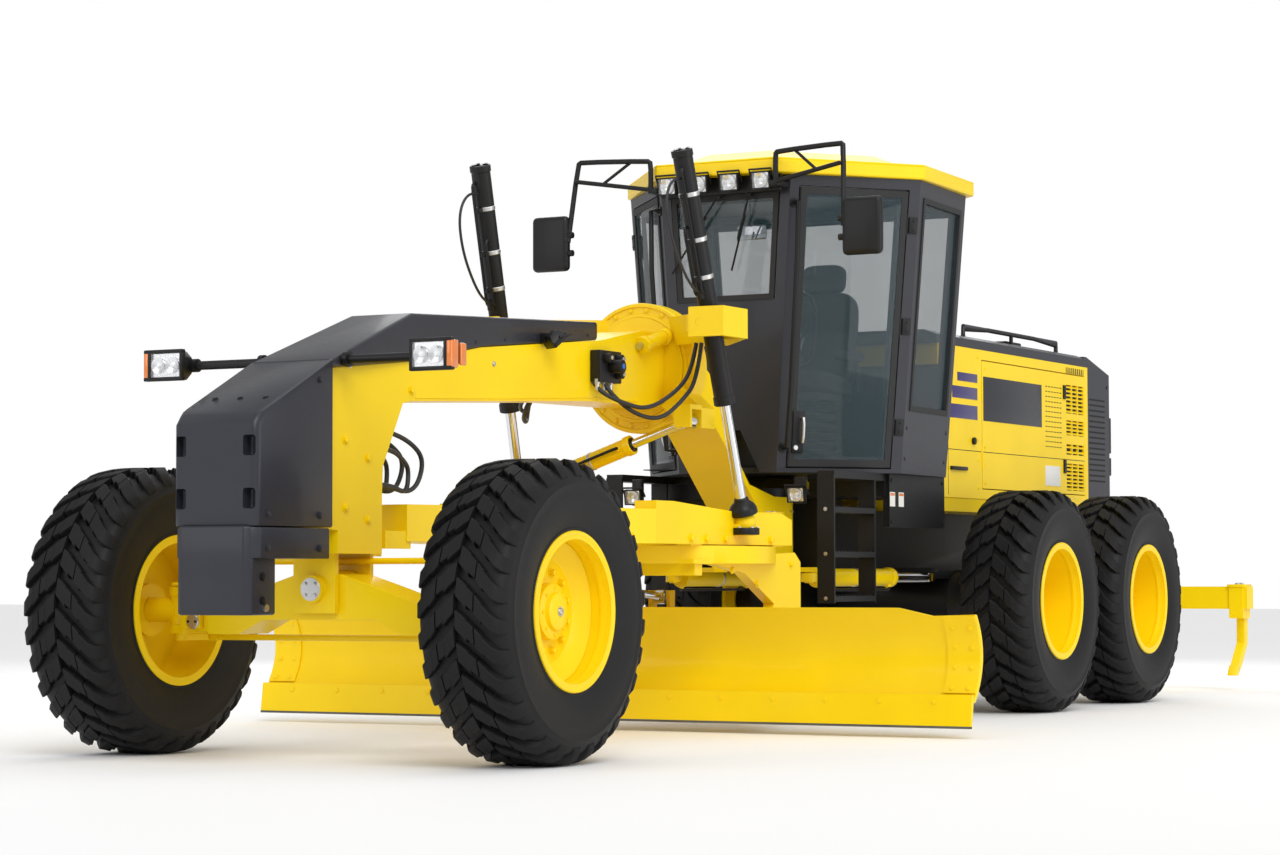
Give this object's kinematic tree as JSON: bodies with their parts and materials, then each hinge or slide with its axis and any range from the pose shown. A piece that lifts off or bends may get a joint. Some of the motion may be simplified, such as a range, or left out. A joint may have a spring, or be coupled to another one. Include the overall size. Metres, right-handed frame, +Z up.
{
  "type": "motor grader",
  "caption": "Articulated motor grader with a gooseneck front frame, turning circle and curved blade, a faceted glass cab, an engine hood, tandem drive wheels and a rear ripper.",
  "frame": {"origin": "on the ground, on the machine's centre plane, under the middle of the front axle", "axes": "+X forward, +Y to the machine's left, +Z up"},
  "size_m": [10.53, 4.23, 3.1598],
  "materials": {
    "yellow_paint": "gloss",
    "charcoal_paint": "satin",
    "black_paint": "satin",
    "tyre_rubber": "matte",
    "chrome_rod": "polished",
    "cab_glass": "tinted",
    "seat_fabric": "woven",
    "cast_engine": "cast"
  },
  "bodies": {
    "rear_frame": {"rear_frame": "black_paint", "tandem_cases": "black_paint", "cab_frame": "charcoal_paint", "cab_roof": "yellow_paint", "cab_glass": "cab_glass", "seat_and_column": "seat_fabric", "mirrors_and_lamps": "black_paint", "hood": "yellow_paint", "engine_cover": "charcoal_paint", "engine": "cast_engine"},
    "front_frame": {"front_frame": "yellow_paint", "counterweight_and_cover": "charcoal_paint", "saddle_ring": "yellow_paint", "headlamps": "black_paint", "front_axle": "yellow_paint"},
    "moldboard": {"moldboard": "yellow_paint", "cutting_edge": "black_paint"},
    "front_left_wheel": {"front_left_tyre": "tyre_rubber", "front_left_rim": "yellow_paint"},
    "front_right_wheel": {"front_right_tyre": "tyre_rubber", "front_right_rim": "yellow_paint"},
    "middle_left_wheel": {"middle_left_tyre": "tyre_rubber", "middle_left_rim": "yellow_paint"},
    "middle_right_wheel": {"middle_right_tyre": "tyre_rubber", "middle_right_rim": "yellow_paint"},
    "rear_left_wheel": {"rear_left_tyre": "tyre_rubber", "rear_left_rim": "yellow_paint"},
    "rear_right_wheel": {"rear_right_tyre": "tyre_rubber", "rear_right_rim": "yellow_paint"},
    "left_yoke": {"left_yoke": "yellow_paint"},
    "right_yoke": {"right_yoke": "yellow_paint"},
    "left_knuckle": {"left_knuckle": "black_paint"},
    "right_knuckle": {"right_knuckle": "black_paint"},
    "lean_bar": {"lean_bar": "yellow_paint"},
    "tie_rod": {"tie_rod": "yellow_paint"},
    "drawbar_swivel": {"drawbar_swivel": "yellow_paint"},
    "drawbar": {"drawbar": "yellow_paint"},
    "circle": {"circle": "black_paint"},
    "pitch_carrier": {"pitch_carrier": "yellow_paint"},
    "left_lift_gimbal": {"left_lift_gimbal": "yellow_paint"},
    "right_lift_gimbal": {"right_lift_gimbal": "yellow_paint"},
    "left_lift_barrel": {"left_lift_barrel": "black_paint"},
    "left_lift_rod": {"left_lift_rod": "chrome_rod"},
    "right_lift_barrel": {"right_lift_barrel": "black_paint"},
    "right_lift_rod": {"right_lift_rod": "chrome_rod"},
    "shift_barrel": {"shift_barrel": "yellow_paint"},
    "shift_rod": {"shift_rod": "chrome_rod"},
    "left_hinge_barrel": {"left_hinge_barrel": "yellow_paint"},
    "left_hinge_rod": {"left_hinge_rod": "chrome_rod"},
    "right_hinge_barrel": {"right_hinge_barrel": "yellow_paint"},
    "right_hinge_rod": {"right_hinge_rod": "chrome_rod"},
    "tilt_barrel": {"tilt_barrel": "yellow_paint"},
    "tilt_rod": {"tilt_rod": "chrome_rod"},
    "left_door": {"left_door": "charcoal_paint"},
    "right_door": {"right_door": "charcoal_paint"},
    "left_engine_door": {"left_engine_door": "yellow_paint"},
    "right_engine_door": {"right_engine_door": "yellow_paint"},
    "ripper": {"ripper": "black_paint"},
    "ripper_barrel": {"ripper_barrel": "yellow_paint"},
    "ripper_rod": {"ripper_rod": "chrome_rod"}
  },
  "joints": [
    {"name": "articulate", "type": "hinge", "parent": "rear_frame", "child": "front_frame", "pos_m": [-4.3, 0, 1.035], "axis": [0, 0, -1], "range_deg": [-25, 25]},
    {"name": "lean", "type": "hinge", "parent": "front_frame", "child": "left_yoke", "pos_m": [0, 0.7, 0.6], "axis": [1, 0, 0], "range_deg": [-18, 18]},
    {"name": "right_lean", "type": "hinge", "parent": "front_frame", "child": "right_yoke", "pos_m": [0, -0.7, 0.6], "axis": [1, 0, 0], "range_deg": [-18, 18]},
    {"name": "lean_bar_pivot", "type": "hinge", "parent": "left_yoke", "child": "lean_bar", "pos_m": [-0.104, 0.7, 0.868], "axis": [1, 0, 0], "range_deg": [-18.5, 18.5]},
    {"name": "steer", "type": "hinge", "parent": "left_yoke", "child": "left_knuckle", "pos_m": [0, 0.83, 0.65], "axis": [0, 0, 1], "range_deg": [-42, 42]},
    {"name": "right_steer", "type": "hinge", "parent": "right_yoke", "child": "right_knuckle", "pos_m": [0, -0.83, 0.65], "axis": [0, 0, 1], "range_deg": [-42, 42]},
    {"name": "tie_rod_slide", "type": "slide", "parent": "front_frame", "child": "tie_rod", "axis": [0, 1, 0], "range_m": [-0.09159, 0.09159]},
    {"name": "front_left_roll", "type": "hinge", "parent": "left_knuckle", "child": "front_left_wheel", "pos_m": [0, 1.03, 0.65], "axis": [0, 1, 0], "continuous": true},
    {"name": "front_right_roll", "type": "hinge", "parent": "right_knuckle", "child": "front_right_wheel", "pos_m": [0, -1.03, 0.65], "axis": [0, 1, 0], "continuous": true},
    {"name": "middle_left_roll", "type": "hinge", "parent": "rear_frame", "child": "middle_left_wheel", "pos_m": [-5.7325, 1.03, 0.65], "axis": [0, 1, 0], "continuous": true},
    {"name": "middle_right_roll", "type": "hinge", "parent": "rear_frame", "child": "middle_right_wheel", "pos_m": [-5.7325, -1.03, 0.65], "axis": [0, 1, 0], "continuous": true},
    {"name": "rear_left_roll", "type": "hinge", "parent": "rear_frame", "child": "rear_left_wheel", "pos_m": [-7.2575, 1.03, 0.65], "axis": [0, 1, 0], "continuous": true},
    {"name": "rear_right_roll", "type": "hinge", "parent": "rear_frame", "child": "rear_right_wheel", "pos_m": [-7.2575, -1.03, 0.65], "axis": [0, 1, 0], "continuous": true},
    {"name": "drawbar_swing", "type": "hinge", "parent": "front_frame", "child": "drawbar_swivel", "pos_m": [-0.3, 0, 0.965], "axis": [0, 0, -1], "range_deg": [-6.5, 6.5]},
    {"name": "drawbar_lift", "type": "hinge", "parent": "drawbar_swivel", "child": "drawbar", "pos_m": [-0.3, 0, 0.965], "axis": [0, 1, 0], "range_deg": [-14, 9]},
    {"name": "circle_turn", "type": "hinge", "parent": "drawbar", "child": "circle", "pos_m": [-2.75, 0, 0.9], "axis": [0, 0, 1], "continuous": true},
    {"name": "blade_pitch", "type": "hinge", "parent": "circle", "child": "pitch_carrier", "pos_m": [-3.04, 0, 0.23], "axis": [0, 1, 0], "range_deg": [-5, 40]},
    {"name": "blade_side_shift", "type": "slide", "parent": "pitch_carrier", "child": "moldboard", "axis": [0, -1, 0], "range_m": [-0.83, 0.37]},
    {"name": "ripper_lift", "type": "hinge", "parent": "rear_frame", "child": "ripper", "pos_m": [-8.47, 0, 0.7], "axis": [0, 1, 0], "range_deg": [-25, 20]},
    {"name": "left_gimbal_rock", "type": "hinge", "parent": "front_frame", "child": "left_lift_gimbal", "pos_m": [-2.4403, 0.61836, 2.06652], "axis": [1, 0, 0], "range_deg": [-15.99, 15.99]},
    {"name": "left_lift_barrel_rock", "type": "hinge", "parent": "left_lift_gimbal", "child": "left_lift_barrel", "pos_m": [-2.4403, 0.61836, 2.06652], "axis": [0, 1, 0], "range_deg": [-8.12, 5.22]},
    {"name": "left_lift_rod_slide", "type": "slide", "parent": "left_lift_barrel", "child": "left_lift_rod", "axis": [-0.2889, 0.0344, -0.9567], "range_m": [-0.3761, 0.58504]},
    {"name": "right_gimbal_rock", "type": "hinge", "parent": "front_frame", "child": "right_lift_gimbal", "pos_m": [-2.4403, -0.61836, 2.06652], "axis": [1, 0, 0], "range_deg": [-15.99, 15.99]},
    {"name": "right_lift_barrel_rock", "type": "hinge", "parent": "right_lift_gimbal", "child": "right_lift_barrel", "pos_m": [-2.4403, -0.61836, 2.06652], "axis": [0, 1, 0], "range_deg": [-8.12, 5.22]},
    {"name": "right_lift_rod_slide", "type": "slide", "parent": "right_lift_barrel", "child": "right_lift_rod", "axis": [-0.2889, -0.0344, -0.9567], "range_m": [-0.3761, 0.58504]},
    {"name": "shift_rod_rock", "type": "hinge", "parent": "front_frame", "child": "shift_rod", "pos_m": [-2.7, 0.35, 1.594], "axis": [1, 0, 0], "range_deg": [-19.44, 30.24]},
    {"name": "shift_barrel_slide", "type": "slide", "parent": "shift_rod", "child": "shift_barrel", "axis": [0, -0.9452, -0.3265], "range_m": [-0.26153, 0.26153]},
    {"name": "left_hinge_barrel_rock", "type": "hinge", "parent": "front_frame", "child": "left_hinge_barrel", "pos_m": [-3.985, 0.42, 0.79], "axis": [0, 0, 1], "range_deg": [-20.66, 20.66]},
    {"name": "left_hinge_rod_slide", "type": "slide", "parent": "left_hinge_barrel", "child": "left_hinge_rod", "axis": [-0.9998, 0.019, 0], "range_m": [-0.18745, 0.18745]},
    {"name": "right_hinge_barrel_rock", "type": "hinge", "parent": "front_frame", "child": "right_hinge_barrel", "pos_m": [-3.985, -0.42, 0.79], "axis": [0, 0, 1], "range_deg": [-20.66, 20.66]},
    {"name": "right_hinge_rod_slide", "type": "slide", "parent": "right_hinge_barrel", "child": "right_hinge_rod", "axis": [-0.9998, -0.019, 0], "range_m": [-0.18745, 0.18745]},
    {"name": "tilt_barrel_rock", "type": "hinge", "parent": "circle", "child": "tilt_barrel", "pos_m": [-2.29, 0, 0.76], "axis": [0, 1, 0], "range_deg": [-10.91, 1.36]},
    {"name": "tilt_rod_slide", "type": "slide", "parent": "tilt_barrel", "child": "tilt_rod", "axis": [-0.9959, 0, -0.0908], "range_m": [-0.29791, 0.03724]},
    {"name": "ripper_barrel_rock", "type": "hinge", "parent": "rear_frame", "child": "ripper_barrel", "pos_m": [-8.48, 0, 1.12], "axis": [0, 1, 0], "range_deg": [-20.59, 16.47]},
    {"name": "ripper_rod_slide", "type": "slide", "parent": "ripper_barrel", "child": "ripper_rod", "axis": [-0.9234, 0, -0.3838], "range_m": [-0.13529, 0.16911]},
    {"name": "left_door_swing", "type": "hinge", "parent": "rear_frame", "child": "left_door", "pos_m": [-4.34683, 0.81088, 2.1625], "axis": [-0.0032, 0.0794, 0.9968], "range_deg": [0, 85]},
    {"name": "right_door_swing", "type": "hinge", "parent": "rear_frame", "child": "right_door", "pos_m": [-4.34683, -0.81088, 2.1625], "axis": [0.0032, 0.0794, -0.9968], "range_deg": [0, 85]},
    {"name": "left_engine_door_swing", "type": "hinge", "parent": "rear_frame", "child": "left_engine_door", "pos_m": [-6.104, 0.582, 1.7], "axis": [0, 0, -1], "range_deg": [0, 90]},
    {"name": "right_engine_door_swing", "type": "hinge", "parent": "rear_frame", "child": "right_engine_door", "pos_m": [-6.104, -0.582, 1.7], "axis": [0, 0, 1], "range_deg": [0, 90]}
  ],
  "couplings": [
    {"joint": "right_lean", "follows": "lean", "ratio": 1},
    {"joint": "lean_bar_pivot", "follows": "lean", "ratio": -1},
    {"joint": "right_steer", "follows": "steer", "ratio": 1},
    {"joint": "tie_rod_slide", "follows": "steer", "m_per_rad": -0.1225},
    {"joint": "left_gimbal_rock", "follows": "drawbar_swing", "ratio": 2.4122},
    {"joint": "left_lift_barrel_rock", "follows": "drawbar_lift", "ratio": 0.56851},
    {"joint": "left_lift_rod_slide", "follows": "drawbar_lift", "m_per_rad": -2.3474},
    {"joint": "right_gimbal_rock", "follows": "drawbar_swing", "ratio": 2.4122},
    {"joint": "right_lift_barrel_rock", "follows": "drawbar_lift", "ratio": 0.56851},
    {"joint": "right_lift_rod_slide", "follows": "drawbar_lift", "m_per_rad": -2.3474},
    {"joint": "shift_rod_rock", "follows": "drawbar_lift", "ratio": -2.1175},
    {"joint": "shift_barrel_slide", "follows": "drawbar_swing", "m_per_rad": -2.2601},
    {"joint": "left_hinge_barrel_rock", "follows": "articulate", "ratio": 0.81001},
    {"joint": "left_hinge_rod_slide", "follows": "articulate", "m_per_rad": 0.42117},
    {"joint": "right_hinge_barrel_rock", "follows": "articulate", "ratio": 0.81001},
    {"joint": "right_hinge_rod_slide", "follows": "articulate", "m_per_rad": -0.42117},
    {"joint": "tilt_barrel_rock", "follows": "blade_pitch", "ratio": -0.26744},
    {"joint": "tilt_rod_slide", "follows": "blade_pitch", "m_per_rad": -0.41835},
    {"joint": "ripper_barrel_rock", "follows": "ripper_lift", "ratio": 0.80736},
    {"joint": "ripper_rod_slide", "follows": "ripper_lift", "m_per_rad": -0.37998}
  ]
}
